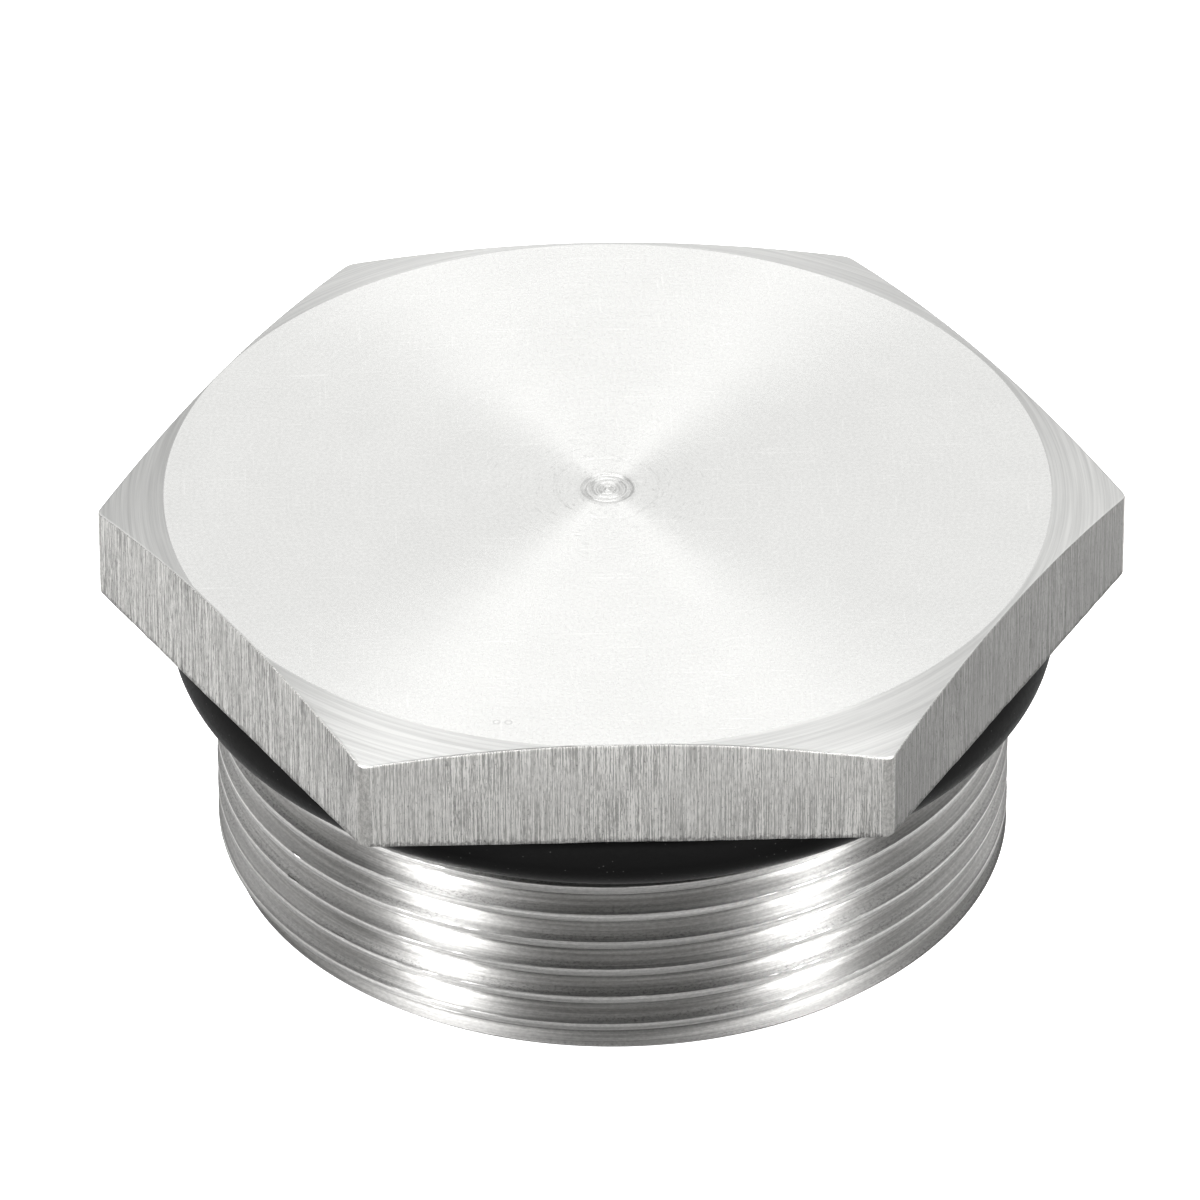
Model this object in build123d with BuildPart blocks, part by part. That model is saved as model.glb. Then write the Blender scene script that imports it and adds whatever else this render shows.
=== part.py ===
from build123d import *

import os
from build123d.topology import SkipClean
from math import ceil, cos, radians, tan

# Hex head pipe plug with a sealing ring, in millimetres.
# +Z runs along the thread axis, from the shank's end on which the plug stands to the head.
# Two of the head's flats face along Y, and two of its corners lie along X.

# Head, left from hexagonal bar
across_flats = 40.0
head_height = 5.2
flat_count = 6
corner_radius = 0.6

# Turned top of the head: a flat disc, and a shallow cone that takes the corners down
top_disc_diameter = 39.7
top_cone_angle = 18.0

# Shank, and its right-hand fine thread, whose groove has a flat root and leaves flat crests
shank_length = 13.1
end_chamfer = 0.5
thread_diameter = 35.85
thread_pitch = 1.5
thread_crest_width = 0.33
thread_root_width = 0.2
thread_flank_angle = 30.0

# Where the groove's middle crosses the level of the shank's end, as an angle from +X
thread_entry_angle = 94.0

# Relief neck between the thread and the head, where the ring lies
neck_diameter = 33.7
neck_height = 3.2

# Sealing ring, whose round section is drawn with many small flats
ring_section = 3.0
ring_section_flats = 20
ring_neck_clearance = 0.1
ring_head_clearance = 0.02

# Places that follow from the sizes
thread_radius = thread_diameter / 2
neck_radius = neck_diameter / 2
top_disc_radius = top_disc_diameter / 2
head_base = shank_length
head_top = head_base + head_height
neck_base = head_base - neck_height
thread_top = neck_base - (thread_radius - neck_radius) * tan(radians(thread_flank_angle))
corner_reach = across_flats / 2 / cos(radians(360 / flat_count / 2))
cone_edge_height = head_top - (corner_reach - top_disc_radius) * tan(radians(top_cone_angle))
ring_radius = neck_radius + ring_neck_clearance + ring_section / 2
ring_height = head_base - ring_head_clearance - ring_section / 2

# The groove is cut as equal arcs, one after another along its helix, and is cut a little
# wider than its depth needs, so that its mouth stands clear of the thread's outside
groove_arcs = 3
groove_overcut = 0.1
flank_run = tan(radians(thread_flank_angle))
groove_mouth = thread_pitch - thread_crest_width
groove_depth = (groove_mouth - thread_root_width) / 2 / flank_run
cutter_mouth = groove_mouth + 2 * groove_overcut * flank_run
arc_angle = 360 / groove_arcs
arc_rise = thread_pitch / groove_arcs
groove_arc_count = ceil((neck_base + thread_pitch) / arc_rise) + groove_arcs

# Plug body, turned in one piece from the bar
with BuildPart() as shank_sector:
    # Shank with its end chamfer, and the neck cut in above it up to the head
    with BuildSketch(Plane.XZ):
        with BuildLine():
            Polyline(
                (0, head_base),
                (0, 0),
                (thread_radius - end_chamfer, 0),
                (thread_radius, end_chamfer),
                (thread_radius, thread_top),
                (neck_radius, neck_base),
                (neck_radius, head_base),
                close=True,
            )
        make_face()
    revolve(axis=Axis.Z, revolution_arc=arc_angle)

with BuildPart() as groove_cutter:
    with BuildLine() as groove_path:
        Helix(thread_pitch, arc_rise, thread_radius)
    with BuildSketch(Plane.XZ):
        with BuildLine():
            Polyline(
                (thread_radius - groove_depth, -thread_root_width / 2),
                (thread_radius + groove_overcut, -cutter_mouth / 2),
                (thread_radius + groove_overcut, cutter_mouth / 2),
                (thread_radius - groove_depth, thread_root_width / 2),
                close=True,
            )
        make_face()
    sweep(path=groove_path.line, is_frenet=True)

with BuildPart() as plug_body:
    # Hexagonal head
    with BuildSketch(Plane.XY.offset(head_base)):
        RegularPolygon(across_flats / 2, flat_count, major_radius=False)
        fillet(vertices(), corner_radius)
    extrude(amount=head_height)

    # Facing and chamfering the head leaves only what lies inside this turned outline
    with BuildSketch(Plane.XZ):
        with BuildLine():
            Polyline(
                (0, head_base),
                (corner_reach, head_base),
                (corner_reach, cone_edge_height),
                (top_disc_radius, head_top),
                (0, head_top),
                close=True,
            )
        make_face()
    revolve(axis=Axis.Z, mode=Mode.INTERSECT)

    # The shank's sectors stay apart in its faces, so that each crest strip is one arc long
    with SkipClean():
        with PolarLocations(0, groove_arcs):
            add(shank_sector.part)

        # Thread groove
        groove_places = [
            Location(
                (0, 0, arc * arc_rise - thread_pitch),
                (0, 0, arc * arc_angle + thread_entry_angle),
            )
            for arc in range(groove_arc_count)
        ]
        with Locations(*groove_places):
            add(groove_cutter.part, mode=Mode.SUBTRACT)

# Sealing ring, round the neck and up against the head
with BuildPart() as sealing_ring:
    with BuildSketch(Plane.XZ):
        with Locations((ring_radius, ring_height)):
            RegularPolygon(
                ring_section / 2,
                ring_section_flats,
                major_radius=False,
                rotation=360 / ring_section_flats / 2,
            )
    revolve(axis=Axis.Z)

plug_body.part.label = "plug_body"
sealing_ring.part.label = "sealing_ring"

os.makedirs("parts", exist_ok=True)
export_step(plug_body.part, "parts/plug_body.step")
export_step(sealing_ring.part, "parts/sealing_ring.step")
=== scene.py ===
from math import cos, pi, radians, sin, tan

import bpy
import numpy as np
from bpy.props import FloatProperty, FloatVectorProperty, PointerProperty
from mathutils import Matrix, Vector


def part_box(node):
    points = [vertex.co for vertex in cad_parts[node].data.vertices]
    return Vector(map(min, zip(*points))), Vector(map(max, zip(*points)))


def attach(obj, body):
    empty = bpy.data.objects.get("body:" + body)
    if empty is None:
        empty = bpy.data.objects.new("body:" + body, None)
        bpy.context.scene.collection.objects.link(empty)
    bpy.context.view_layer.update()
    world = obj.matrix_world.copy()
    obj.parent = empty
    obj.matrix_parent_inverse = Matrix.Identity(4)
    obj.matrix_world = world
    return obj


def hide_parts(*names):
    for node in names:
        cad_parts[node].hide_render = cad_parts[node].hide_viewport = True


bl_info = {
    "name": "Hex Head Pipe Plug",
    "version": (1, 0, 0),
    "blender": (4, 5, 0),
    "location": "View3D > Sidebar > Pipe Plug",
    "description": "Builds a turned hex head plug with a fine thread and a rubber sealing ring",
    "category": "Add Mesh",
}

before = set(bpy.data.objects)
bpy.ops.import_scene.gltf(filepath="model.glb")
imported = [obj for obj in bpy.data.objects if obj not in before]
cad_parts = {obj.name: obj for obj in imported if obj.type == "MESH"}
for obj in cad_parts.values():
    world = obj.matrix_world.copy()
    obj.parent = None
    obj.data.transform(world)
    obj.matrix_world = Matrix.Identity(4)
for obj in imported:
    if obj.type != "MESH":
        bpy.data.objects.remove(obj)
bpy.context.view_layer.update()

MM = 0.001

PLUG_LOW, PLUG_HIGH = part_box("plug_body")
RING_LOW, RING_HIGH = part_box("sealing_ring")

# Finishes of the plug, in the order of its material slots
FACED, CHAMFERED, DRAWN, CORNER, THREADED, TURNED = range(6)

# Three burrs on the thread: their way along the helix and how far they stand off, in millimetres
BURRS = ((714.0, 0.15), (601.1, 0.26), (491.5, 0.18))
BURR_LENGTH = 0.2 * MM

# Wander of the crest's edges, outwards and upwards
WANDER_OUT, WANDER_UP = 0.004 * MM, 0.006 * MM
NICK_COUNT = 150

# Marks that the facing tool left round the middle of the top, as depths, widths and a radius
DISH_DEPTH = 0.038 * MM
RIPPLE_DEPTH, RIPPLE_SPACING = 0.012 * MM, 0.3 * MM
NIB_HEIGHT = 0.03 * MM
GROOVE_DEPTH, GROOVE_WIDTH, GROOVE_RADIUS = 0.012 * MM, 0.07 * MM, 2.36 * MM

# How far the parting line of the ring's mould stands out, and its half width as an angle
FLASH_HEIGHT, FLASH_ANGLE = 0.012 * MM, 0.05

# Grey across the thread's profile, from a groove's middle to the next one above: a painted highlight along
# the crest's upper edge, and painted shade in the root and close above the crest
THREAD_PAINTED_LIGHT_AND_SHADE = (
    (0.0, 0.35),
    (0.04, 0.5),
    (0.43, 0.5),
    (0.45, 0.54),
    (0.478, 0.6),
    (0.512, 0.95),
    (0.552, 0.95),
    (0.572, 0.42),
    (0.66, 0.54),
    (0.86, 0.68),
    (0.915, 0.78),
    (0.945, 0.5),
    (0.965, 0.35),
)

# Edges sharper than this stay sharp, and the rest of the plug is shaded smooth
SHARP_ANGLE = radians(37)

# How strongly the paper glows where the camera sees it, enough for plain white
PAPER_GLOW = 1.3

# Points round the thread, and round the outline that it is turned to
COLUMNS = 540

# Places of two small nicks in the faced top, in millimetres
NICKS = ((-5.6, -18.05, 18.3), (-5.08, -18.1, 18.3))


def from_hex(code):
    """A colour written as an sRGB hex value, as Blender's linear red, green and blue."""
    srgb = [int(code[i : i + 2], 16) / 255 for i in (1, 3, 5)]
    return tuple(c / 12.92 if c <= 0.04045 else ((c + 0.055) / 1.055) ** 2.4 for c in srgb)


def length_property(name, description, default):
    """A length in metres, shown in the unit that the user has set."""
    return FloatProperty(
        name=name,
        description=description,
        default=default,
        min=0.0,
        precision=5,
        subtype="DISTANCE",
        unit="LENGTH",
    )


def angle_property(name, description, default):
    """An angle in radians, shown in degrees."""
    return FloatProperty(
        name=name,
        description=description,
        default=default,
        precision=3,
        subtype="ANGLE",
        unit="ROTATION",
    )


def colour_property(name, description, default):
    """A colour whose default is written as an sRGB hex value."""
    return FloatVectorProperty(
        name=name,
        description=description,
        default=from_hex(default),
        min=0.0,
        max=1.0,
        size=3,
        subtype="COLOR",
    )


class PlugSizes(bpy.types.PropertyGroup):
    """Sizes of the plug and its ring"""

    across_flats: length_property(
        "Across flats", "Width of the hexagonal head between two opposite flats", PLUG_HIGH.y - PLUG_LOW.y
    )
    corner_radius: length_property("Corner radius", "Rounding of the bar's six corners", 0.6 * MM)
    head_top: length_property("Head top", "Height of the faced top", PLUG_HIGH.z)
    head_base: length_property("Head base", "Height of the underside of the head", 13.1 * MM)
    top_disc_diameter: length_property("Top disc", "Flat disc left inside the turned chamfer", 39.7 * MM)
    top_cone_angle: angle_property("Chamfer slope", "Slope of the turned chamfer below level", radians(18))
    lathe_centre_x: FloatProperty(
        name="Lathe centre X",
        description="How far the turned top lies off the hexagon's middle",
        default=-0.21 * MM,
        precision=5,
        subtype="DISTANCE",
        unit="LENGTH",
    )
    lathe_centre_y: FloatProperty(
        name="Lathe centre Y",
        description="How far the turned top lies off the hexagon's middle",
        default=-0.23 * MM,
        precision=5,
        subtype="DISTANCE",
        unit="LENGTH",
    )
    edge_break: length_property("Edge break", "Rounding of the head's sharp edges", 0.06 * MM)
    thread_diameter: length_property("Thread diameter", "Outside of the thread", 35.85 * MM)
    thread_pitch: length_property("Thread pitch", "Rise of the thread in one turn", 1.5 * MM)
    thread_crest: length_property("Thread crest", "Width of the flat crests", 0.33 * MM)
    thread_root: length_property("Thread root", "Width of the groove's root", 0.2 * MM)
    thread_flank: angle_property("Thread flank", "Slope of the flanks from level", radians(30))
    thread_entry: angle_property(
        "Thread entry", "Where the groove's middle crosses the shank's end, from +X", radians(94)
    )
    burr_height: length_property("Burr height", "How far the crest's edges are turned up", 0.016 * MM)
    end_chamfer: length_property("End chamfer", "Chamfer at the shank's end", 0.5 * MM)
    neck_diameter: length_property("Neck diameter", "Relief neck that the ring lies on", 33.7 * MM)
    neck_height: length_property("Neck height", "Height of the relief neck", 3.2 * MM)
    ring_section: length_property("Ring section", "Thickness of the sealing ring", RING_HIGH.z - RING_LOW.z)
    ring_diameter: length_property("Ring diameter", "Outside of the sealing ring", RING_HIGH.x - RING_LOW.x)


class PlugColours(bpy.types.PropertyGroup):
    """Colours of the finishes and of the floor"""

    faced: colour_property("Faced steel", "Lathe-faced top", "#F4F4F2")
    chamfered: colour_property("Chamfered steel", "Turned chamfer of the head", "#E7E7E5")
    drawn: colour_property("Drawn steel", "Flats left as drawn bar", "#E4E3E0")
    # The corners' darker grey is painted shade, for the darker look of a narrow facet on each corner
    corner: colour_property("Corner steel", "Rubbed corners of the bar", "#C4C3C0")
    threaded: colour_property("Threaded steel", "Cut thread", "#E6E5E3")
    turned: colour_property("Turned steel", "Neck, end face and underside", "#C2C1BF")
    rubber: colour_property("Rubber", "Moulded rubber of the ring", "#080808")
    dust: colour_property("Dust", "Specks of dust on the rubber", "#343433")
    floor: colour_property("Floor", "Plain paper floor", "#D9D9D9")


class StageSettings(bpy.types.PropertyGroup):
    """Where the camera stands and how it looks"""

    azimuth: angle_property("Azimuth", "Where the camera stands round the plug", radians(-91.66))
    elevation: angle_property("Elevation", "How high the camera looks down", radians(34.96))
    roll: angle_property("Roll", "Turn of the camera about its own line of sight", radians(0.127))
    distance: length_property("Distance", "From the camera to the point it looks at", 560.6 * MM)
    look_at: FloatVectorProperty(
        name="Look at",
        description="Point in the middle of the picture",
        default=(-0.5675 * MM, -0.4823 * MM, 12.387 * MM),
        precision=5,
        subtype="TRANSLATION",
        unit="LENGTH",
    )
    lens: FloatProperty(
        name="Lens",
        description="Focal length for a sensor 36 mm wide",
        default=374.04,
        min=1.0,
        unit="CAMERA",
    )


def wave_noise(values, seed, waves=9, longest=1.0, octaves=5.0):
    """A smooth, repeatable wander between about -1 and 1 along the given values."""
    rng = np.random.default_rng(seed)
    total = np.zeros_like(values, dtype=float)
    for _ in range(waves):
        wavelength = longest / 2 ** rng.uniform(0, octaves)
        total += np.sin(values * 2 * pi / wavelength + rng.uniform(0, 2 * pi))
    return total / waves**0.5


def smooth_step(values, low, high):
    """A smooth rise from 0 at the low value to 1 at the high one."""
    share = np.clip((values - low) / (high - low), 0, 1)
    return share * share * (3 - 2 * share)


def mesh_of_rows(name, rows, finishes, materials):
    """A closed mesh from rings of points, low to high, with one finish for each band between them."""
    rows = [np.asarray(row, float) for row in rows]
    count = len(rows[0])
    points = np.concatenate(rows)
    faces, looks = [], []
    for band, finish in enumerate(finishes):
        low, high = band * count, (band + 1) * count
        for i in range(count):
            j = (i + 1) % count
            faces.append((low + i, low + j, high + j, high + i))
            looks.append(finish[i] if isinstance(finish, list) else finish)
    # Each end is closed by a fan round the middle of its ring
    points = np.concatenate([points, (rows[0].mean(0), rows[-1].mean(0))])
    first, last = len(points) - 2, len(points) - 1
    top = (len(rows) - 1) * count
    for i in range(count):
        j = (i + 1) % count
        faces += [(first, j, i), (last, top + i, top + j)]
        looks += [TURNED, finishes[-1]]
    return finished_mesh(name, points, faces, looks, materials)


def finished_mesh(name, points, faces, looks, materials):
    """A mesh with its materials, and a finish for each face."""
    mesh = bpy.data.meshes.new(name)
    mesh.from_pydata([tuple(p) for p in points], [], faces)
    for material in materials:
        mesh.materials.append(material)
    mesh.polygons.foreach_set("material_index", looks)
    mesh.update()
    if mesh.validate(verbose=False):
        raise RuntimeError(f"{name} has faulty faces")
    return mesh


def scene_object(name, mesh):
    """A mesh placed in the scene under a name."""
    piece = bpy.data.objects.new(name, mesh)
    bpy.context.scene.collection.objects.link(piece)
    return piece


def smooth_but_sharp(mesh, angle):
    """Shades a mesh smooth, apart from edges sharper than the angle."""
    mesh.polygons.foreach_set("use_smooth", [True] * len(mesh.polygons))
    mesh.set_sharp_from_angle(angle=angle)


def head_outline(sizes, flat_steps=44, arc_steps=10):
    """Points round the hexagon, their outward directions, the way along it and each wall's finish."""
    radius = sizes.corner_radius
    reach = (sizes.across_flats / 2 - radius) / cos(radians(30))
    places, normals, walls = [], [], []
    for k in range(6):
        normal_angle = radians(-90 + 60 * k)
        before = reach * np.array([cos(normal_angle - pi / 6), sin(normal_angle - pi / 6)])
        after = reach * np.array([cos(normal_angle + pi / 6), sin(normal_angle + pi / 6)])
        normal = np.array([cos(normal_angle), sin(normal_angle)])
        # A close pair of points at each end keeps the flat flat where the corner's rounding starts
        shares = np.concatenate([[0, 0.004], np.linspace(0, 1, flat_steps + 1)[1:-1], [0.996, 1]])
        for share in shares:
            places.append(before + (after - before) * share + radius * normal)
            normals.append(normal)
        for step in range(1, arc_steps):
            angle = normal_angle + radians(60) * step / arc_steps
            normal = np.array([cos(angle), sin(angle)])
            places.append(after + radius * normal)
            normals.append(normal)
        walls += [DRAWN] * (len(shares) - 1) + [CORNER] * arc_steps
    places, normals = np.array(places), np.array(normals)
    steps = np.linalg.norm(places - np.roll(places, 1, 0), axis=1)
    return places, normals, np.cumsum(steps), walls


def head_mesh(sizes, materials):
    """The hexagonal head: turned top, chamfer, drawn flats and underside."""
    outline, normals, along, walls = head_outline(sizes)
    centre = np.array([sizes.lathe_centre_x, sizes.lathe_centre_y])
    disc_radius = sizes.top_disc_diameter / 2
    slope = tan(sizes.top_cone_angle)
    bevel = sizes.edge_break

    def ring(places, heights):
        return np.column_stack([places, np.broadcast_to(heights, len(places))])

    def top_height(places):
        away = np.linalg.norm(places - centre, axis=1)
        # Shallow rings where the facing tool slowed and stopped, round the point that it left
        dish = DISH_DEPTH * (1 - smooth_step(away, 1.0 * MM, 1.3 * MM))
        ripple = RIPPLE_DEPTH * np.cos(away / RIPPLE_SPACING * 2 * pi)
        ripple = ripple * (1 - smooth_step(away, 0.9 * MM, 1.5 * MM))
        nib = NIB_HEIGHT * (1 - smooth_step(away, 0.06 * MM, 0.22 * MM))
        groove = GROOVE_DEPTH * np.exp(-(((away - GROOVE_RADIUS) / GROOVE_WIDTH) ** 2))
        height = sizes.head_top + np.minimum(ripple + nib - dish - groove, 0)
        return height - np.maximum(away - disc_radius, 0) * slope

    rows, finishes = [], []
    inner = outline - normals * bevel
    direction = inner - centre
    reach = np.linalg.norm(direction, axis=1)
    direction = direction / reach[:, None]

    # Underside, with small chips along the lower edge of the flats
    chip = bevel * (0.8 + 0.5 * wave_noise(along, 3, 14, 8 * MM, 5.5))
    chip = np.clip(chip, 0.3 * bevel, 2.2 * bevel)[:, None]
    rows.append(ring(outline - normals * chip, sizes.head_base))
    for angle in (30, 60):
        a = radians(angle)
        edge = outline - normals * chip * (1 - sin(a))
        rows.append(ring(edge, sizes.head_base + chip[:, 0] * (1 - cos(a))))
        finishes.append(walls)
    rows.append(ring(outline, sizes.head_base + chip[:, 0]))
    finishes.append(walls)

    # Flats
    edge_height = top_height(outline)
    wall_low = sizes.head_base + chip[:, 0]
    wall_high = edge_height - bevel
    for share in (0.012, 0.2, 0.4, 0.6, 0.8, 0.988, 1.0):
        rows.append(ring(outline, wall_low + (wall_high - wall_low) * share))
        finishes.append(walls)

    # Edge between the flats and the turned top
    for angle in (25, 50, 75):
        a = radians(angle)
        edge = outline - normals * bevel * (1 - cos(a))
        rows.append(ring(edge, wall_high + bevel * sin(a)))
        finishes.append(walls)
    rows.append(ring(inner, top_height(inner)))
    finishes.append(CHAMFERED)

    # Chamfer, in to the disc's edge, which stays just inside the flats
    least_width = 0.05 * MM
    disc_edge = np.minimum(disc_radius, reach - least_width)
    for share in (0.97, 0.75, 0.5, 0.25):
        places = centre + direction * (disc_edge + (reach - disc_edge) * share)[:, None]
        rows.append(ring(places, top_height(places)))
        finishes.append(CHAMFERED)
    for offset in (0.015, 0.0, -0.015):
        places = centre + direction * (disc_edge + offset * MM)[:, None]
        rows.append(ring(places, top_height(places)))
        finishes.append(CHAMFERED if offset >= 0 else FACED)

    # Disc, with its rings in millimetres from the middle, and close together near it
    radii = [19.5, 18.5, 17, 15, 13, 11, 9, 7, 5, 3.5, 2.8, 2.5, 2.42, 2.36, 2.3, 2.24, 2.18, 2.1, 1.8]
    radii += list(np.arange(1.55, 0.03, -0.045))
    for radius in radii:
        places = centre + direction * radius * MM
        rows.append(ring(places, top_height(places)))
        finishes.append(FACED)
    return mesh_of_rows("head", rows, finishes, materials)


def thread_profile(sizes):
    """One pitch of the thread, from a groove's middle to the next, as heights and radii."""
    radius = sizes.thread_diameter / 2
    pitch, crest, root = sizes.thread_pitch, sizes.thread_crest, sizes.thread_root
    run = tan(sizes.thread_flank)
    depth = (pitch - crest - root) / 2 / run
    low, high = (pitch - crest) / 2, (pitch + crest) / 2
    lip = sizes.burr_height

    def flank(share):
        return root / 2 + share * depth * run, radius - depth + share * depth

    lower = [flank(0.06), flank(0.35), flank(0.65), flank(0.94)]
    upper = [(pitch - h, r) for h, r in reversed(lower)]
    # The crest's turned up edges: how far in from the edge in millimetres, and how low in lips
    edge = ((-0.006, 0.6), (0.02, 0.0), (0.05, 0.45), (0.08, 1.0))
    crest_line = [(low + way * MM, radius - sunk * lip) for way, sunk in edge]
    crest_line.append((pitch / 2, radius - 1.1 * lip))
    crest_line += [(high - way * MM, radius - sunk * lip) for way, sunk in reversed(edge)]
    base, root_edge = radius - depth, root * 0.35
    return [(0.0, base), (root_edge, base)] + lower + crest_line + upper + [(pitch - root_edge, base)]


def threaded_rod_mesh(sizes, materials, columns=COLUMNS):
    """A rod with the thread wound round it as one ribbon, longer than the shank at both ends."""
    profile = thread_profile(sizes)
    lines, pitch = len(profile), sizes.thread_pitch
    turns_below = 3
    start = -turns_below * pitch
    turns = int((sizes.head_base + pitch - start) / pitch) + 1
    steps = columns * turns
    turn = np.arange(steps + 1) / columns
    angle = turn * 2 * pi + sizes.thread_entry
    circumference = pi * sizes.thread_diameter
    heights, radii = np.array(profile).T
    profile_way = np.concatenate([[0], np.cumsum(np.hypot(np.diff(heights), np.diff(radii)))])
    whole = profile_way[-1] + pitch - heights[-1]

    # The crest's edges wander a little, and here and there they are nicked
    way = turn * circumference
    wander = wave_noise(way, 5, 16, 14 * MM, 5.5)
    rng = np.random.default_rng(11)
    points = np.empty((steps + 1, lines, 3))
    crest_lines = [i for i, r in enumerate(radii) if r > sizes.thread_diameter / 2 - 1.2 * sizes.burr_height]
    nick_lines = {crest_lines[1]: 0, crest_lines[-2]: 1}
    nicks = np.zeros((2, steps + 1))
    for _ in range(NICK_COUNT):
        place, width = rng.uniform(0, way[-1]), rng.uniform(0.12, 0.4) * MM
        depth = rng.uniform(-0.03, 0.05) * MM
        nicks[rng.integers(2)] += depth * np.exp(-(((way - place) / width) ** 2))
    # Three burrs that stand off the crest's upper edge
    burrs = np.zeros(steps + 1)
    for place, stand in BURRS:
        burrs += stand * MM * np.exp(-(((way - place * MM) / BURR_LENGTH) ** 2))
    for line in range(lines):
        radius = np.full(steps + 1, radii[line])
        height = start + turn * pitch + heights[line]
        if line in crest_lines[-3:]:
            radius += burrs * 0.9
            height += burrs
        if line in nick_lines:
            radius += WANDER_OUT * wander - np.maximum(nicks[nick_lines[line]], 0)
            height += WANDER_UP * np.roll(wander, 37) + 0.5 * nicks[nick_lines[line]]
        points[:, line] = np.column_stack([radius * np.cos(angle), radius * np.sin(angle), height])

    def at(step, line):
        return step * lines + line

    faces = []
    for step in range(steps):
        for line in range(lines - 1):
            faces.append((at(step, line), at(step + 1, line), at(step + 1, line + 1), at(step, line + 1)))
        # Joined to the next turn's first line
        if step + columns < steps:
            above = step + columns
            faces.append((at(step, lines - 1), at(step + 1, lines - 1), at(above + 1, 0), at(above, 0)))
    # Caps beyond the shank's ends, where the turned outline cuts them away
    low_loop = [at(step, 0) for step in range(columns + 1)] + [at(0, q) for q in range(lines - 1, 0, -1)]
    high_loop = [at(step, lines - 1) for step in range(steps - columns, steps + 1)]
    high_loop += [at(steps, q) for q in range(lines - 2, -1, -1)]
    points = points.reshape(-1, 3)
    tips = np.array([[0, 0, start - pitch], [0, 0, points[:, 2].max() + pitch]])
    low_tip, high_tip = len(points), len(points) + 1
    points = np.concatenate([points, tips])
    for i, vertex in enumerate(low_loop):
        faces.append((low_tip, low_loop[(i + 1) % len(low_loop)], vertex))
    for i, vertex in enumerate(high_loop):
        faces.append((high_tip, vertex, high_loop[(i + 1) % len(high_loop)]))
    mesh = finished_mesh("threaded_rod", points, faces, [THREADED] * len(faces), materials)

    # Each point's way along the helix in millimetres, and its share of the profile across it
    uv = mesh.uv_layers.new(name="helix")
    loop_vertices = np.empty(len(mesh.loops), np.int64)
    mesh.loops.foreach_get("vertex_index", loop_vertices)
    table = np.zeros((len(points), 2))
    table[: (steps + 1) * lines, 0] = np.repeat(way, lines) / MM
    table[: (steps + 1) * lines, 1] = np.tile(profile_way / whole, steps + 1)
    uv.data.foreach_set("uv", table[loop_vertices].astype(np.float32).ravel())
    return mesh


def turned_outline_mesh(sizes, materials, columns=COLUMNS):
    """What turning leaves of the shank: end face, end chamfer, thread stock, neck and the head's core."""
    thread, neck = sizes.thread_diameter / 2, sizes.neck_diameter / 2
    neck_base = sizes.head_base - sizes.neck_height
    run = tan(sizes.thread_flank)
    beyond = 0.4 * MM
    chamfer = sizes.end_chamfer
    fillet = 0.3 * MM
    profile = [
        (thread - chamfer - 0.02 * MM, 0.0),
        (thread - chamfer + 0.01 * MM, 0.012 * MM),
        (thread + beyond, chamfer + beyond),
        (thread + beyond, neck_base - (thread + beyond - neck) * run),
        (neck, neck_base),
    ]
    for angle in range(0, 91, 15):
        a = radians(angle)
        profile.append((neck + fillet * (1 - cos(a)), sizes.head_base - fillet * (1 - sin(a))))
    profile.append((neck + fillet, sizes.head_base + 1 * MM))
    # A small turn keeps its columns off those of the thread
    small_turn = 0.31 * pi / columns
    angles = np.arange(columns) / columns * 2 * pi + small_turn
    ring = np.column_stack([np.cos(angles), np.sin(angles)])
    rows = [np.column_stack([r * ring, np.full(columns, z)]) for r, z in profile]
    return mesh_of_rows("turned_outline", rows, [TURNED] * (len(rows) - 1), materials)


def combined(name, first, steps):
    """The first mesh intersected or joined with the others in turn."""
    helpers = [scene_object("helper", first)]
    for operation, mesh in steps:
        helpers.append(scene_object("helper", mesh))
        modifier = helpers[0].modifiers.new(operation, "BOOLEAN")
        modifier.operation = operation
        modifier.solver = "MANIFOLD"
        modifier.object = helpers[-1]
    graph = bpy.context.evaluated_depsgraph_get()
    result = bpy.data.meshes.new_from_object(helpers[0].evaluated_get(graph), depsgraph=graph)
    result.name = name
    for helper in helpers:
        data = helper.data
        bpy.data.objects.remove(helper)
        bpy.data.meshes.remove(data)
    if not result.polygons:
        raise RuntimeError(f"{name} came out empty")
    return result


def add_node(tree, kind, settings=None, values=None, links=None):
    """Adds a node to a tree, with its settings, its unlinked inputs and the outputs that feed it."""
    node = tree.nodes.new(kind)
    for key, value in (settings or {}).items():
        setattr(node, key, value)
    for key, value in (values or {}).items():
        node.inputs[key].default_value = value
    for key, source in (links or {}).items():
        tree.links.new(source, node.inputs[key])
    return node


def new_material(name):
    """A material with an empty node tree."""
    material = bpy.data.materials.new(name)
    material.use_nodes = True
    material.node_tree.nodes.clear()
    return material


def set_stops(ramp, stops):
    """Sets a colour ramp's stops to greys."""
    elements = ramp.color_ramp.elements
    while len(elements) < len(stops):
        elements.new(0.5)
    for element, (position, grey) in zip(elements, stops):
        element.position, element.color = position, (grey, grey, grey, 1)


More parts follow.
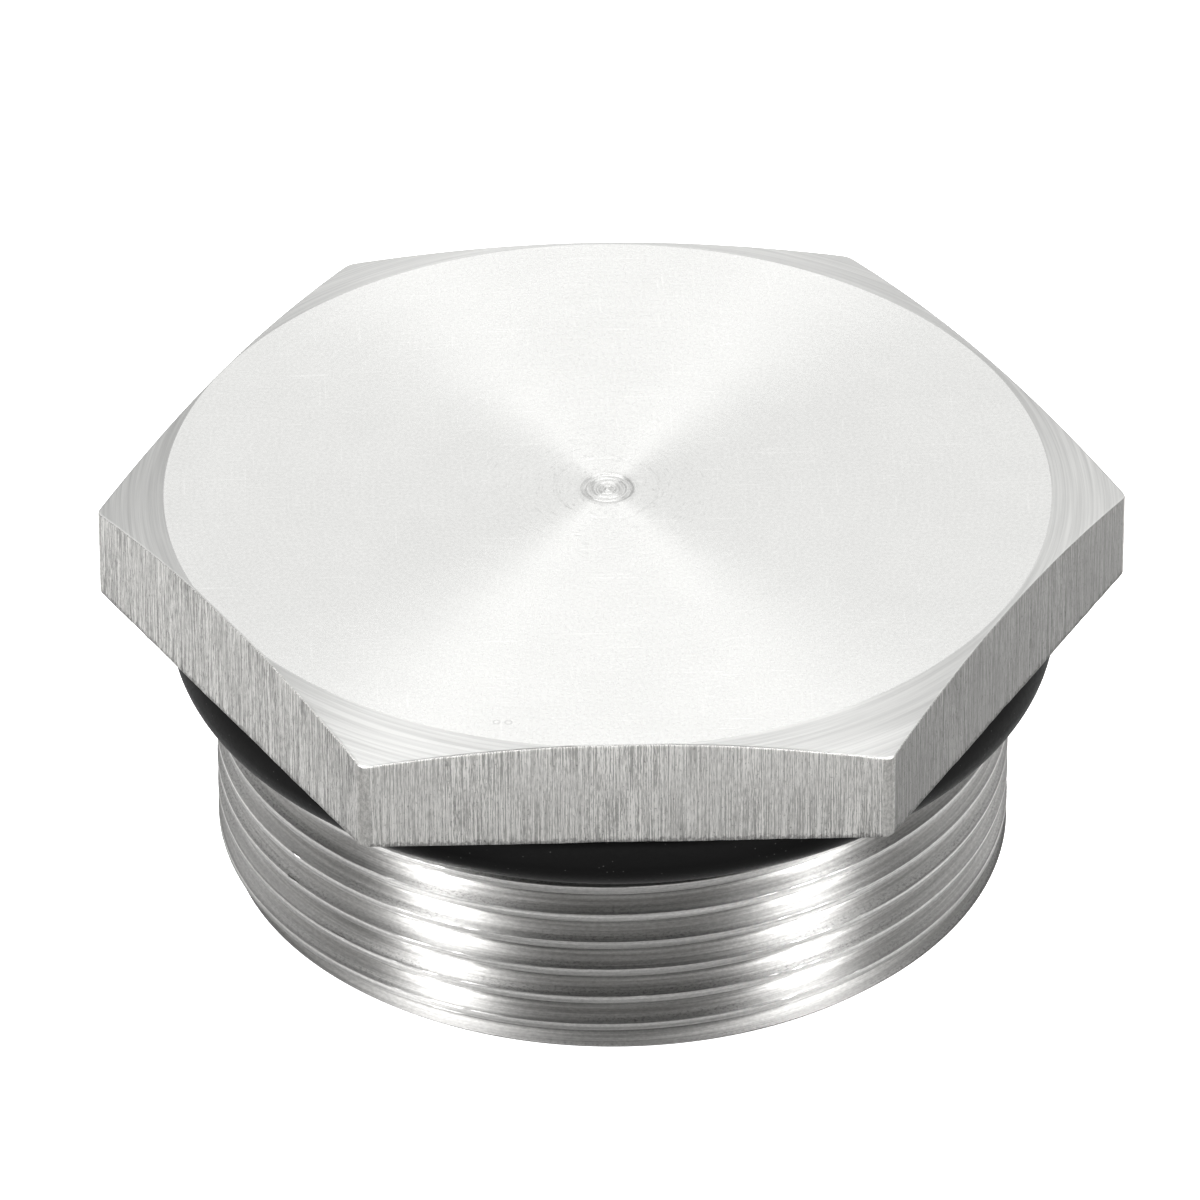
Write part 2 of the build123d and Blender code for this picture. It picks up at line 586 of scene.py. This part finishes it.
def in_millimetres(tree, centre=(0, 0)):
    """Places on the object in millimetres, how far they lie from the lathe's centre line and which way."""
    coords = add_node(tree, "ShaderNodeTexCoord")
    place = add_node(
        tree,
        "ShaderNodeVectorMath",
        {"operation": "MULTIPLY"},
        {1: (1000, 1000, 1000)},
        {0: coords.outputs["Object"]},
    )
    off = (-centre[0] / MM, -centre[1] / MM, 0)
    moved = add_node(tree, "ShaderNodeVectorMath", {"operation": "ADD"}, {1: off}, {0: place.outputs[0]})
    level = add_node(
        tree, "ShaderNodeVectorMath", {"operation": "MULTIPLY"}, {1: (1, 1, 0)}, {0: moved.outputs[0]}
    )
    radius = add_node(tree, "ShaderNodeVectorMath", {"operation": "LENGTH"}, {}, {0: level.outputs[0]})
    outward = add_node(tree, "ShaderNodeVectorMath", {"operation": "NORMALIZE"}, {}, {0: level.outputs[0]})
    return place.outputs[0], radius.outputs["Value"], outward.outputs[0]


def turned_marks(tree, radius, outward, per_mm, arcs, detail=3.0):
    """Noise drawn out into arcs round the lathe's centre: so many lines a millimetre, so long."""
    spread = add_node(tree, "ShaderNodeVectorMath", {"operation": "SCALE"}, {"Scale": arcs}, {0: outward})
    out = add_node(tree, "ShaderNodeMath", {"operation": "MULTIPLY"}, {1: per_mm}, {0: radius})
    lift = add_node(tree, "ShaderNodeCombineXYZ", {}, {}, {"Z": out.outputs[0]})
    at = add_node(
        tree, "ShaderNodeVectorMath", {"operation": "ADD"}, {}, {0: spread.outputs[0], 1: lift.outputs[0]}
    )
    marks = add_node(
        tree,
        "ShaderNodeTexNoise",
        {},
        {"Scale": 1.0, "Detail": detail, "Roughness": 0.65},
        {"Vector": at.outputs[0]},
    )
    return marks.outputs["Fac"]


def stretched_noise(tree, place, scale, detail=3.0, turn=0.0):
    """Noise with its own scale along each axis, in cycles a millimetre, turned about Z."""
    at = add_node(
        tree, "ShaderNodeMapping", {}, {"Rotation": (0, 0, radians(turn)), "Scale": scale}, {"Vector": place}
    )
    noise = add_node(
        tree,
        "ShaderNodeTexNoise",
        {},
        {"Scale": 1.0, "Detail": detail, "Roughness": 0.65},
        {"Vector": at.outputs[0]},
    )
    return noise.outputs["Fac"]


def carried(tree, *patterns):
    """Patterns multiplied together, each as it is or carried smoothly from one range to another."""
    total = None
    for value, *ranges in patterns:
        if ranges:
            limits = dict(zip(("From Min", "From Max", "To Min", "To Max"), ranges))
            smooth = {"interpolation_type": "SMOOTHSTEP"}
            value = add_node(tree, "ShaderNodeMapRange", smooth, limits, {"Value": value}).outputs[0]
        if total is not None:
            both = {0: total, 1: value}
            value = add_node(tree, "ShaderNodeMath", {"operation": "MULTIPLY"}, {}, both).outputs[0]
        total = value
    return total


def metal(tree, base, tone, relief, depth, roughness, anisotropy=0.0, tangent=None):
    """The metal's shader, from its toned colour, its relief, its roughness and the way its marks run."""
    colour = add_node(tree, "ShaderNodeVectorMath", {"operation": "SCALE"}, {0: tuple(base)}, {"Scale": tone})
    bump = add_node(tree, "ShaderNodeBump", {}, {"Strength": 1.0, "Distance": depth}, {"Height": relief})
    links = {"Base Color": colour.outputs[0], "Normal": bump.outputs[0], "Roughness": roughness}
    if tangent:
        to_world = {"vector_type": "VECTOR", "convert_from": "OBJECT", "convert_to": "WORLD"}
        turned = add_node(tree, "ShaderNodeVectorTransform", to_world, {}, {0: tangent})
        links["Tangent"] = turned.outputs[0]
    values = {"Metallic": 1.0, "Anisotropic": anisotropy}
    shader = add_node(tree, "ShaderNodeBsdfPrincipled", {}, values, links)
    add_node(tree, "ShaderNodeOutputMaterial", {}, {}, {"Surface": shader.outputs[0]})


def faced_steel(sizes, colours):
    """Stainless steel faced on a lathe: pale and satin, with the tool's rings and a soft fan of light."""
    material = new_material("faced_stainless_steel")
    tree = material.node_tree
    place, radius, outward = in_millimetres(tree, (sizes.lathe_centre_x, sizes.lathe_centre_y))
    # Feed marks are 0.08 mm apart; drawn 0.13 mm apart, the finest that the render can show
    feed = turned_marks(tree, radius, outward, 7.5, 2.2)
    # Short arcs scored by chips, darker, and mostly near the middle
    scored = turned_marks(tree, radius, outward, 9.0, 6.0, 1.0)
    scores = carried(tree, (scored, 0.6, 0.74, 0.0, 1.0), (radius, 2.0, 7.5, 0.15, 0.005))
    # Close dark rings over the last 1.3 mm, where the tool slowed
    last = turned_marks(tree, radius, outward, 15.0, 0.9, 1.0)
    dwell = carried(tree, (last, 0.4, 0.62, 0.02, 0.22), (radius, 1.1, 1.5, 1.0, 0.0))
    arcs = add_node(tree, "ShaderNodeMath", {"operation": "ADD"}, {}, {0: scores, 1: dwell})
    # Grain of the cut 0.15 mm across, and clouds from handling some millimetres across
    grain = stretched_noise(tree, place, (6.5, 6.5, 6.5), 3.0)
    cloud = stretched_noise(tree, place, (0.25, 0.25, 0.25), 4.0)
    # Pale hairline scratches in two directions, 0.05 mm wide and some millimetres long
    lines = stretched_noise(tree, place, (0.3, 9.0, 1.0), 1.0, 24.0)
    cross = stretched_noise(tree, place, (8.0, 0.35, 1.0), 1.0, 15.0)
    one_way = carried(tree, (lines, 0.68, 0.76, 0.0, 0.07))
    other_way = carried(tree, (cross, 0.69, 0.77, 0.0, 0.05))
    hairs = add_node(tree, "ShaderNodeMath", {"operation": "ADD"}, {}, {0: one_way, 1: other_way})
    # Two nicks like small rings 0.3 mm across, near the front edge
    nicks = []
    for nick in NICKS:
        gap = add_node(tree, "ShaderNodeVectorMath", {"operation": "DISTANCE"}, {1: nick}, {0: place})
        compare = {"operation": "COMPARE"}
        on_ring = add_node(tree, "ShaderNodeMath", compare, {1: 0.14, 2: 0.045}, {0: gap.outputs["Value"]})
        nicks.append((on_ring.outputs[0], 0.0, 1.0, 1.0, 0.86))
    tone = carried(
        tree,
        *nicks,
        (grain, 0.3, 0.7, 0.94, 1.03),
        (feed, 0.25, 0.75, 0.985, 1.01),
        (cloud, 0.3, 0.7, 0.975, 1.0),
    )
    less = add_node(tree, "ShaderNodeMath", {"operation": "SUBTRACT"}, {}, {0: tone, 1: arcs.outputs[0]})
    terms = {0: less.outputs[0], 1: hairs.outputs[0]}
    toned = add_node(tree, "ShaderNodeMath", {"operation": "ADD"}, {}, terms)
    relief = add_node(tree, "ShaderNodeMath", {"operation": "MULTIPLY_ADD"}, {1: 0.6}, {0: grain, 2: feed})
    # Smoother where the cut is clean, duller where it has been handled
    polish = carried(tree, (grain, 0.3, 0.7, 0.278, 0.262))
    metal(tree, colours.faced, toned.outputs[0], relief.outputs[0], 0.0022 * MM, polish, 0.8, outward)
    return material


def chamfered_steel(sizes, colours):
    """Stainless steel turned with a coarser feed: brighter rings that show one by one."""
    material = new_material("chamfered_stainless_steel")
    tree = material.node_tree
    _, radius, outward = in_millimetres(tree, (sizes.lathe_centre_x, sizes.lathe_centre_y))
    # Feed marks 0.13 mm apart, and broader steps 0.6 mm apart where the tool chattered
    feed = turned_marks(tree, radius, outward, 8.0, 2.0, 4.0)
    steps = turned_marks(tree, radius, outward, 1.6, 1.5)
    tone = carried(tree, (feed, 0.3, 0.7, 0.88, 1.06), (steps, 0.35, 0.65, 0.95, 1.04))
    polish = carried(tree, (steps, 0.35, 0.65, 0.32, 0.36))
    metal(tree, colours.chamfered, tone, feed, 0.008 * MM, polish, 0.6, outward)
    return material


def drawn_steel(sizes, colours):
    """Stainless steel as it left the drawing die: duller grey, with light and dark lines along the bar."""
    material = new_material("drawn_stainless_steel")
    tree = material.node_tree
    place, _, _ = in_millimetres(tree)
    # Die lines 0.05 mm wide and several millimetres long, and shorter ones between them
    lines = stretched_noise(tree, place, (20.0, 20.0, 0.25), 3.0)
    marks = stretched_noise(tree, place, (24.0, 24.0, 2.2), 2.0)
    both = add_node(tree, "ShaderNodeMath", {"operation": "MULTIPLY_ADD"}, {1: 0.55}, {0: marks, 2: lines})
    about = add_node(tree, "ShaderNodeMath", {"operation": "SUBTRACT"}, {1: 0.775}, {0: both.outputs[0]})
    # They show more in patches 3 mm or so across, and, as painted light from the left, more on the flats
    # towards -X
    patch = stretched_noise(tree, place, (0.32, 0.32, 0.1), 1.0)
    sides = add_node(tree, "ShaderNodeTexCoord")
    facing = add_node(tree, "ShaderNodeSeparateXYZ", {}, {}, {0: sides.outputs["Normal"]}).outputs["X"]
    swing = carried(tree, (about.outputs[0],), (patch, 0.4, 0.62, 1.1, 2.2), (facing, -0.9, 0.9, 2.5, 0.7))
    shifted = add_node(tree, "ShaderNodeMath", {"operation": "ADD"}, {1: 0.5}, {0: swing})
    # Pits 0.1 mm across, and dark specks where the lower edge is chewed
    pits = stretched_noise(tree, place, (9.0, 9.0, 6.0), 1.0)
    chews = stretched_noise(tree, place, (5.0, 5.0, 4.0), 4.0)
    rise = add_node(tree, "ShaderNodeSeparateXYZ", {}, {}, {0: place})
    edge = sizes.head_base / MM
    low = carried(tree, (rise.outputs["Z"], edge, edge + 0.65, 0.46, 0.0))
    chewed = add_node(tree, "ShaderNodeMath", {"operation": "ADD"}, {}, {0: chews, 1: low})
    # Painted shade by the way each flat faces: palest on the two flats that face along Y, darker towards -X
    # and darkest towards +X
    tone = carried(
        tree,
        (shifted.outputs[0], 0.2, 0.8, 0.58, 1.38),
        (pits, 0.64, 0.72, 1.0, 0.66),
        (chewed.outputs[0], 0.78, 0.98, 1.0, 0.5),
        (facing, -0.9, 0.0, 0.62, 0.82),
        (facing, 0.1, 0.9, 1.0, 0.42),
    )
    polish = carried(tree, (both.outputs[0], 0.5, 1.0, 0.48, 0.38))
    metal(tree, colours.drawn, tone, both.outputs[0], 0.012 * MM, polish)
    return material


def corner_steel(colours):
    """The bar's rounded corners: darker as painted shade, standing in for the darker look of a narrow facet
    there, and rough and speckled.
    """
    material = new_material("corner_stainless_steel_with_painted_shade")
    tree = material.node_tree
    place, _, _ = in_millimetres(tree)
    # Specks 0.1 to 0.2 mm across
    specks = stretched_noise(tree, place, (6.5, 6.5, 5.0), 3.0)
    lines = stretched_noise(tree, place, (9.0, 9.0, 0.8), 2.0)
    tone = carried(tree, (specks, 0.36, 0.62, 0.74, 1.06), (lines, 0.3, 0.7, 0.86, 1.12))
    polish = carried(tree, (specks, 0.36, 0.62, 0.5, 0.42))
    # The corners' grey is darker than the flats' as painted shade
    metal(tree, colours.corner, tone, specks, 0.02 * MM, polish)
    return material


def threaded_steel(colours):
    """Stainless steel cut with a threading tool: a painted highlight on the crests, painted shade in the
    roots, and fine lines along the flanks.
    """
    material = new_material("threaded_stainless_steel")
    tree = material.node_tree
    helix = add_node(tree, "ShaderNodeUVMap", {"uv_map": "helix"}).outputs[0]
    # Across: 2.5 mm of profile a pitch. Lines 0.08 mm apart, and broader ones 0.2 mm apart
    fine = stretched_noise(tree, helix, (0.10, 30.0, 1.0), 3.0)
    broad = stretched_noise(tree, helix, (0.05, 11.0, 1.0), 1.0)
    grain = stretched_noise(tree, helix, (4.0, 22.0, 1.0), 2.0)
    across_profile = add_node(tree, "ShaderNodeSeparateXYZ", {}, {}, {0: helix}).outputs["Y"]
    # Painted highlight on the crests and painted shade in the roots, from the profile's grey
    ramp = add_node(tree, "ShaderNodeValToRGB", {}, {}, {0: across_profile})
    set_stops(ramp, THREAD_PAINTED_LIGHT_AND_SHADE)
    # Torn metal close above the crest, in specks 0.1 mm across, more in some places than others
    torn = stretched_noise(tree, helix, (6.0, 26.0, 1.0), 2.0)
    where = stretched_noise(tree, helix, (0.12, 1.0, 1.0), 1.0)
    tears = carried(
        tree,
        (across_profile, 0.57, 0.61, 0.0, 1.0),
        (across_profile, 0.66, 0.82, 1.0, 0.0),
        (torn, 0.5, 0.62, 0.0, -0.3),
        (where, 0.42, 0.6, 0.15, 1.0),
    )
    whole = add_node(tree, "ShaderNodeMath", {"operation": "ADD"}, {1: 1.0}, {0: tears})
    # Darker and duller at the end, where the first turn was chamfered away
    coords = add_node(tree, "ShaderNodeTexCoord")
    height = add_node(tree, "ShaderNodeSeparateXYZ", {}, {}, {0: coords.outputs["Object"]}).outputs["Z"]
    tone = carried(
        tree,
        (ramp.outputs["Color"],),
        (whole.outputs[0],),
        (fine, 0.25, 0.75, 0.84, 1.16),
        (broad, 0.3, 0.7, 0.86, 1.14),
        (grain, 0.3, 0.7, 0.9, 1.1),
        (height, 0.4 * MM, 1.2 * MM, 0.86, 1.0),
    )
    polish = carried(tree, (broad, 0.3, 0.7, 0.34, 0.38), (height, 0.5 * MM, 1.2 * MM, 1.75, 1.0))
    relief = add_node(tree, "ShaderNodeMath", {"operation": "MULTIPLY_ADD"}, {1: 0.15}, {0: grain, 2: fine})
    # The highlight spreads across the grooves, so the tangent is the way up each face
    cross = {"operation": "CROSS_PRODUCT"}
    around = add_node(tree, "ShaderNodeVectorMath", cross, {0: (0, 0, 1)}, {1: coords.outputs["Object"]})
    geometry = add_node(tree, "ShaderNodeNewGeometry")
    to_object = {"vector_type": "NORMAL", "convert_from": "WORLD", "convert_to": "OBJECT"}
    normal = add_node(tree, "ShaderNodeVectorTransform", to_object, {}, {0: geometry.outputs["Normal"]})
    upward = add_node(tree, "ShaderNodeVectorMath", cross, {}, {0: around.outputs[0], 1: normal.outputs[0]})
    metal(tree, colours.threaded, tone, relief.outputs[0], 0.004 * MM, polish, 0.84, upward.outputs[0])
    return material


def turned_steel(colours):
    """Stainless steel turned plain, on the neck, the end and the underside of the head: grey and satin."""
    material = new_material("turned_stainless_steel")
    tree = material.node_tree
    place, radius, outward = in_millimetres(tree)
    # Feed marks 0.15 mm apart, outwards on the level faces and up the others
    height = add_node(tree, "ShaderNodeSeparateXYZ", {}, {}, {0: place}).outputs["Z"]
    way = add_node(tree, "ShaderNodeMath", {"operation": "ADD"}, {}, {0: radius, 1: height})
    feed = turned_marks(tree, way.outputs[0], outward, 6.5, 1.2)
    specks = stretched_noise(tree, place, (5.0, 5.0, 5.0), 3.0)
    tone = carried(tree, (feed, 0.3, 0.7, 0.86, 1.1), (specks, 0.4, 0.62, 0.85, 1.05))
    polish = carried(tree, (specks, 0.4, 0.62, 0.4, 0.32))
    metal(tree, colours.turned, tone, feed, 0.008 * MM, polish)
    return material


def moulded_rubber(colours):
    """Nitrile rubber as moulded: near black, slightly glossy, with a little dust on it."""
    material = new_material("moulded_nitrile_rubber")
    tree = material.node_tree
    place, _, _ = in_millimetres(tree)
    # Specks of dust 0.05 to 0.1 mm across
    cells = add_node(tree, "ShaderNodeTexVoronoi", {}, {"Scale": 2.6}, {"Vector": place})
    speck = carried(tree, (cells.outputs["Distance"], 0.06, 0.11, 1.0, 0.0))
    pores = stretched_noise(tree, place, (5.0, 5.0, 5.0))
    polish = carried(tree, (pores, 0.35, 0.65, 0.42, 0.5))
    depth = {"Strength": 1.0, "Distance": 0.004 * MM}
    bump = add_node(tree, "ShaderNodeBump", {}, depth, {"Height": pores})
    both = {"A": (*colours.rubber, 1), "B": (*colours.dust, 1)}
    colour = add_node(tree, "ShaderNodeMix", {"data_type": "RGBA"}, both, {"Factor": speck})
    shader = add_node(
        tree,
        "ShaderNodeBsdfPrincipled",
        {},
        {
            "Metallic": 0.0,
            "IOR": 1.52,
            "Specular IOR Level": 0.07,
            "Sheen Weight": 0.06,
            "Sheen Roughness": 0.35,
        },
        {"Base Color": colour.outputs[2], "Normal": bump.outputs[0], "Roughness": polish},
    )
    add_node(tree, "ShaderNodeOutputMaterial", {}, {}, {"Surface": shader.outputs[0]})
    return material


def paper_floor(colours):
    """Matt white paper with a faint tooth, burnt out to plain white as in an overexposed studio shot."""
    material = new_material("matt_white_paper")
    tree = material.node_tree
    coords = add_node(tree, "ShaderNodeTexCoord").outputs["Object"]
    # Tooth of the paper 1 mm across
    tooth = add_node(tree, "ShaderNodeTexNoise", {}, {"Scale": 900.0, "Detail": 2.0}, {"Vector": coords})
    depth = {"Strength": 0.2, "Distance": 0.02 * MM}
    bump = add_node(tree, "ShaderNodeBump", {}, depth, {"Height": tooth.outputs["Fac"]})
    # Darker in a strip close before the plug's foot, where less light reaches the paper
    along = add_node(tree, "ShaderNodeSeparateXYZ", {}, {}, {0: coords}).outputs["Y"]
    before = carried(tree, (along, -0.06, -0.036, 0.84, 0.3))
    behind = carried(tree, (along, -0.024, -0.002, 0.0, 0.7))
    tone = add_node(tree, "ShaderNodeMath", {"operation": "ADD"}, {}, {0: before, 1: behind}).outputs[0]
    paper = {0: tuple(colours.floor)}
    shaded = add_node(tree, "ShaderNodeVectorMath", {"operation": "SCALE"}, paper, {"Scale": tone})
    # Seen directly the paper glows, and what the metal mirrors is the paper with its shadows
    seen = add_node(tree, "ShaderNodeLightPath").outputs["Is Camera Ray"]
    glow = add_node(tree, "ShaderNodeMath", {"operation": "MULTIPLY"}, {1: PAPER_GLOW}, {0: seen})
    shader = add_node(
        tree,
        "ShaderNodeBsdfPrincipled",
        {},
        {"Roughness": 0.9, "Specular IOR Level": 0.1, "Emission Color": (1, 1, 1, 1)},
        {"Base Color": shaded.outputs[0], "Normal": bump.outputs[0], "Emission Strength": glow.outputs[0]},
    )
    add_node(tree, "ShaderNodeOutputMaterial", {}, {}, {"Surface": shader.outputs[0]})
    return material


class PLUG_OT_body(bpy.types.Operator):
    """Build the turned plug body with its drawn flats and cut thread"""

    bl_idname = "pipe_plug.body"
    bl_label = "Plug Body"
    bl_options = {"REGISTER", "UNDO"}

    def execute(self, context):
        sizes, colours = context.scene.plug_sizes, context.scene.plug_colours
        materials = [
            faced_steel(sizes, colours),
            chamfered_steel(sizes, colours),
            drawn_steel(sizes, colours),
            corner_steel(colours),
            threaded_steel(colours),
            turned_steel(colours),
        ]
        mesh = combined(
            "turned_plug",
            threaded_rod_mesh(sizes, materials),
            [
                ("INTERSECT", turned_outline_mesh(sizes, materials)),
                ("UNION", head_mesh(sizes, materials)),
            ],
        )
        smooth_but_sharp(mesh, SHARP_ANGLE)
        piece = scene_object("turned_plug", mesh)
        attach(piece, "root")
        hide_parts("plug_body")
        return {"FINISHED"}


class PLUG_OT_ring(bpy.types.Operator):
    """Build the moulded rubber sealing ring on the neck"""

    bl_idname = "pipe_plug.ring"
    bl_label = "Sealing Ring"
    bl_options = {"REGISTER", "UNDO"}

    def execute(self, context):
        sizes, colours = context.scene.plug_sizes, context.scene.plug_colours
        section = sizes.ring_section / 2
        reach = sizes.ring_diameter / 2 - section
        middle = (RING_LOW.z + RING_HIGH.z) / 2
        columns, steps = 360, 64
        angles = np.arange(columns) / columns * 2 * pi
        points, faces = [], []
        for step in range(steps):
            a = 2 * pi * step / steps
            # A trace of the mould's parting line stands round the outside
            flash = FLASH_HEIGHT * np.exp(-((((a + pi) % (2 * pi) - pi) / FLASH_ANGLE) ** 2))
            radius = reach + (section - FLASH_HEIGHT + flash) * cos(a)
            height = middle + (section - 0.002 * MM) * sin(a)
            points += [(radius * cos(b), radius * sin(b), height) for b in angles]
            for i in range(columns):
                j, n = (i + 1) % columns, (step + 1) % steps
                faces.append((step * columns + i, step * columns + j, n * columns + j, n * columns + i))
        mesh = finished_mesh("rubber_ring", points, faces, [0] * len(faces), [moulded_rubber(colours)])
        mesh.polygons.foreach_set("use_smooth", [True] * len(faces))
        piece = scene_object("rubber_ring", mesh)
        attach(piece, "root")
        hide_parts("sealing_ring")
        return {"FINISHED"}


def soft_box(name, place, target, width, height, power):
    """A rectangular soft light at a place, turned to a target."""
    data = bpy.data.lights.new(name, "AREA")
    data.shape = "RECTANGLE"
    data.size, data.size_y = width, height
    data.energy = power
    light = bpy.data.objects.new(name, data)
    place, target = Vector(place), Vector(target)
    light.location = place
    light.rotation_euler = (target - place).to_track_quat("-Z", "Y").to_euler()
    bpy.context.scene.collection.objects.link(light)


FLOOR_WIDTH = 6.0
SKY_STRENGTH = 1.16

# Sky's grey from left to right, from the camera's side to the far side, and from the ground up
SKY_ACROSS = (
    (0.0, 0.8),
    (0.12, 0.92),
    (0.21, 0.98),
    (0.27, 0.56),
    (0.34, 0.46),
    (0.43, 0.68),
    (0.49, 1.0),
    (0.53, 1.0),
    (0.59, 0.71),
    (0.64, 0.56),
    (0.69, 0.92),
    (0.76, 0.66),
    (0.81, 0.98),
    (0.9, 0.95),
    (1.0, 0.85),
)
SKY_ALONG = (
    (0.0, 0.8),
    (0.1, 0.6),
    (0.2, 0.08),
    (0.44, 0.06),
    (0.53, 0.78),
    (0.68, 0.87),
    (0.8, 1.0),
)
SKY_UP = (
    (0.5, 0.62),
    (0.62, 0.82),
    (0.72, 1.0),
    (0.78, 0.93),
    (0.86, 0.8),
    (0.94, 0.78),
    (0.99, 0.74),
)

# Soft lights: name, way round and height in degrees, width and height in metres, and watts
LIGHTS = (
    ("left_strip", -143.7, 30, 0.19, 0.7, 17.5),
    ("right_strip", -35.6, 30, 0.25, 0.7, 15.5),
    ("far_box", 92, 62, 0.6, 0.3, 0.75),
)
LIGHT_DISTANCE = 1.1
LIT_POINT = (0, 0, 0.01)


class PLUG_OT_stage(bpy.types.Operator):
    """Set the floor, the soft light and the camera"""

    bl_idname = "pipe_plug.stage"
    bl_label = "Stage"
    bl_options = {"REGISTER", "UNDO"}

    def execute(self, context):
        scene, stage = context.scene, context.scene.plug_stage
        half = FLOOR_WIDTH / 2
        corners = [(-half, -half, 0), (half, -half, 0), (half, half, 0), (-half, half, 0)]
        mesh = finished_mesh("floor", corners, [(0, 1, 2, 3)], [0], [paper_floor(scene.plug_colours)])
        floor = scene_object("floor", mesh)

        # Studio sky: a white sweep that rises behind and runs overhead, dark where it comes down
        # towards the camera and light again low behind it
        world = bpy.data.worlds.new("studio")
        scene.world = world
        world.use_nodes = True
        tree = world.node_tree
        tree.nodes.clear()
        coords = add_node(tree, "ShaderNodeTexCoord")
        parts = add_node(tree, "ShaderNodeSeparateXYZ", {}, {}, {0: coords.outputs["Generated"]})
        levels = []
        for axis, stops in (("X", SKY_ACROSS), ("Y", SKY_ALONG), ("Z", SKY_UP)):
            # Each direction from -1 to 1 is carried to the ramp's 0 to 1
            halve = {"operation": "MULTIPLY_ADD"}
            share = add_node(tree, "ShaderNodeMath", halve, {1: 0.5, 2: 0.5}, {0: parts.outputs[axis]})
            ramp = add_node(tree, "ShaderNodeValToRGB", {}, {}, {0: share.outputs[0]})
            ramp.color_ramp.interpolation = "EASE"
            set_stops(ramp, stops)
            levels.append((ramp.outputs["Color"],))
        strength = {"Strength": SKY_STRENGTH}
        background = add_node(tree, "ShaderNodeBackground", {}, strength, {0: carried(tree, *levels)})
        add_node(tree, "ShaderNodeOutputWorld", {}, {}, {0: background.outputs[0]})

        for name, angle, rise, width, tall, power in LIGHTS:
            a, e = radians(angle), radians(rise)
            place = Vector((cos(e) * cos(a), cos(e) * sin(a), sin(e))) * LIGHT_DISTANCE
            soft_box(name, place, LIT_POINT, width, tall, power)

        # Camera at the photograph's angle
        level, rise = stage.azimuth, stage.elevation
        back = Vector((cos(rise) * cos(level), cos(rise) * sin(level), sin(rise)))
        data = bpy.data.cameras.new("camera")
        data.lens, data.sensor_width, data.sensor_fit = stage.lens, 36.0, "HORIZONTAL"
        data.clip_start, data.clip_end = 0.01, 100.0
        camera = bpy.data.objects.new("camera", data)
        turn = back.to_track_quat("Z", "Y").to_matrix().to_4x4() @ Matrix.Rotation(-stage.roll, 4, "Z")
        camera.matrix_world = Matrix.Translation(Vector(stage.look_at) + back * stage.distance) @ turn
        scene.collection.objects.link(camera)
        scene.camera = camera
        scene.view_settings.view_transform = "Standard"
        scene.view_settings.look = "None"
        return {"FINISHED"}


class PLUG_PT_panel(bpy.types.Panel):
    """Lists the plug's sizes and colours, the camera's settings and what builds each piece"""

    bl_label = "Hex Head Pipe Plug"
    bl_idname = "PLUG_PT_panel"
    bl_space_type = "VIEW_3D"
    bl_region_type = "UI"
    bl_category = "Pipe Plug"

    def draw(self, context):
        layout = self.layout
        for group in ("plug_sizes", "plug_colours", "plug_stage"):
            settings = getattr(context.scene, group)
            column = layout.column(align=True)
            for key in settings.__annotations__:
                column.prop(settings, key)
        for operator in (PLUG_OT_body, PLUG_OT_ring, PLUG_OT_stage):
            layout.operator(operator.bl_idname)


CLASSES = (PlugSizes, PlugColours, StageSettings, PLUG_OT_body, PLUG_OT_ring, PLUG_OT_stage, PLUG_PT_panel)


def register():
    for cls in CLASSES:
        bpy.utils.register_class(cls)
    bpy.types.Scene.plug_sizes = PointerProperty(type=PlugSizes)
    bpy.types.Scene.plug_colours = PointerProperty(type=PlugColours)
    bpy.types.Scene.plug_stage = PointerProperty(type=StageSettings)


def unregister():
    del bpy.types.Scene.plug_stage
    del bpy.types.Scene.plug_colours
    del bpy.types.Scene.plug_sizes
    for cls in reversed(CLASSES):
        bpy.utils.unregister_class(cls)


def main():
    register()
    bpy.ops.pipe_plug.body()
    bpy.ops.pipe_plug.ring()
    bpy.ops.pipe_plug.stage()


if __name__ == "__main__":
    main()
